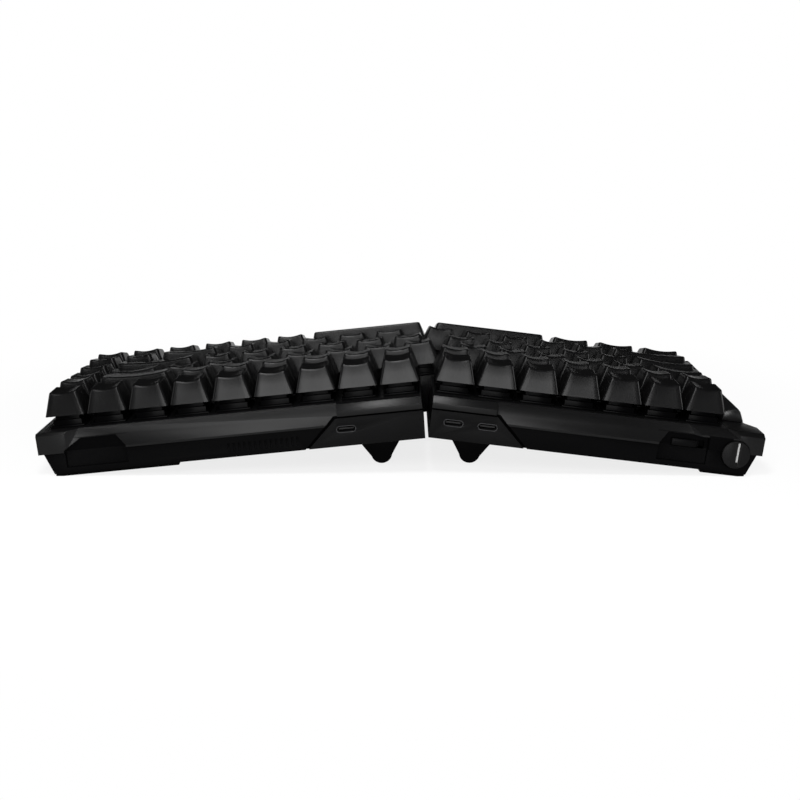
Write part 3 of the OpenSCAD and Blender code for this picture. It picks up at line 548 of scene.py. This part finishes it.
def rays(start, *kinds):
    """1 for rays of these kinds."""
    found = start.node("ShaderNodeLightPath", "Is %s Ray" % kinds[0], {})
    for kind in kinds[1:]:
        found = found | start.node("ShaderNodeLightPath", "Is %s Ray" % kind, {})
    return found


def ramp(start, value, low, high):
    """1 up to low, falling smoothly to 0 at high."""
    return start.node("ShaderNodeMapRange", "Result", {
        "Value": value, "From Min": low, "From Max": high, "To Min": 1.0, "To Max": 0.0},
        interpolation_type="SMOOTHSTEP")


def paper(start):
    """Pale paper that the camera sees as white, greyer under the object's shadow."""
    place = start.node("ShaderNodeTexCoord", "Object", {})
    distance = start.node("ShaderNodeVectorMath", "Value", {0: place}, operation="LENGTH")
    near = ramp(start, distance, SHADOW_NEAR, SHADOW_REACH)
    behind = ramp(start, start.node("ShaderNodeSeparateXYZ", "Y", {0: place}), BEHIND_FROM, BEHIND_TO)
    fibres = start.node("ShaderNodeTexNoise", "Fac", {"Vector": place, "Scale": FIBRE_SCALE})
    tint = start.node("ShaderNodeMix", 2, {0: fibres, 6: PAPER_TINTS[0], 7: PAPER_TINTS[1]},
                      data_type="RGBA")
    white = start.node("ShaderNodeEmission", "Emission", {"Color": PURE_WHITE, "Strength": 1.0})
    pale = start.node("ShaderNodeBsdfDiffuse", "BSDF", {"Color": tint})
    seen = rays(start, "Camera") * (1 - SHADOW_SHARE * near)
    far = ramp(start, distance, WHITE_NEAR, WHITE_REACH)
    shown = rays(start, "Glossy", "Transmission") * behind * far
    return start.node("ShaderNodeMixShader", 0, {0: seen | shown, 1: pale, 2: white})


floor_mesh = bpy.data.meshes.new("floor")
floor_corners = [(x * FLOOR_HALF, y * FLOOR_HALF, 0) for x, y in ((-1, -1), (1, -1), (1, 1), (-1, 1))]
floor_mesh.from_pydata(floor_corners, [], [(0, 1, 2, 3)])
floor_mesh.materials.append(material("paper", paper))
floor = bpy.data.objects.new("floor", floor_mesh)
bpy.context.scene.collection.objects.link(floor)

world = bpy.data.worlds.new("studio")
bpy.context.scene.world = world
world.use_nodes = True
start = Field(world.node_tree)
look = start.node("ShaderNodeTexCoord", "Generated", {})
behind = start.node("ShaderNodeSeparateXYZ", "Y", {0: look}) < 0.0
foot = ramp(start, start.node("ShaderNodeSeparateXYZ", "Z", {0: look}), 0.0, FOOT_HIGH)
room, dim, white = [start.node("ShaderNodeBackground", "Background", {"Color": PURE_WHITE, "Strength": s})
                    for s in (ROOM_LIGHT, ROOM_DIM, ROOM_WHITE)]
reflected = start.node("ShaderNodeMixShader", 0, {0: behind * foot, 1: dim, 2: white})
lit = start.node("ShaderNodeMixShader", 0,
                 {0: rays(start, "Glossy", "Transmission"), 1: room, 2: reflected})
whole = start.node("ShaderNodeMixShader", 0, {0: rays(start, "Camera"), 1: lit, 2: white})
world.node_tree.links.new(whole.socket, world.node_tree.nodes["World Output"].inputs["Surface"])


# Studio light: a wide soft box behind the camera lights the rear faces, and a higher one the lips.
# A small one hangs above the keys, and one stands on each side.
AIM = Vector((0, 0, 0.05))


def soft_box(name, size, power, place):
    """A rectangular lamp, sizes and place in metres and power in watts."""
    light = bpy.data.lights.new(name, "AREA")
    light.shape = "RECTANGLE"
    light.size, light.size_y = size
    light.energy = power
    lamp = bpy.data.objects.new(name, light)
    lamp.location = place
    lamp.rotation_mode = "QUATERNION"
    lamp.rotation_quaternion = (AIM - Vector(place)).to_track_quat("-Z", "Y")
    bpy.context.scene.collection.objects.link(lamp)


soft_box("key_light", size=(0.5, 0.24), power=5.0, place=(0.01, 0.95, 0.16))
soft_box("lip_light", size=(0.4, 0.3), power=4.0, place=(0.12, 0.7, 0.5))
soft_box("top_light", size=(0.2, 0.2), power=5.0, place=(0.1, 0.34, 0.75))
soft_box("left_light", size=(0.4, 0.3), power=3.0, place=(-0.85, 0.2, 0.2))
soft_box("right_light", size=(0.3, 0.3), power=1.0, place=(0.85, 0.2, 0.2))


# Camera: it stands behind the keyboard, a little above it, and looks down on it.
# A normal lens, placed where the key grid of the photograph puts it.
CAMERA_AT = (-0.00065, 0.61231, 0.18063)
CAMERA_DOWN, CAMERA_TURN = 14.759, 180.085
LENS, SENSOR = 57.49, 36
camera = bpy.data.objects.new("camera", bpy.data.cameras.new("camera"))
camera.location = CAMERA_AT
camera.rotation_euler = (math.radians(90 - CAMERA_DOWN), 0, math.radians(CAMERA_TURN))
camera.data.lens = LENS
camera.data.sensor_width = SENSOR
bpy.context.scene.collection.objects.link(camera)
bpy.context.scene.camera = camera
bpy.context.scene.view_settings.view_transform = "Standard"
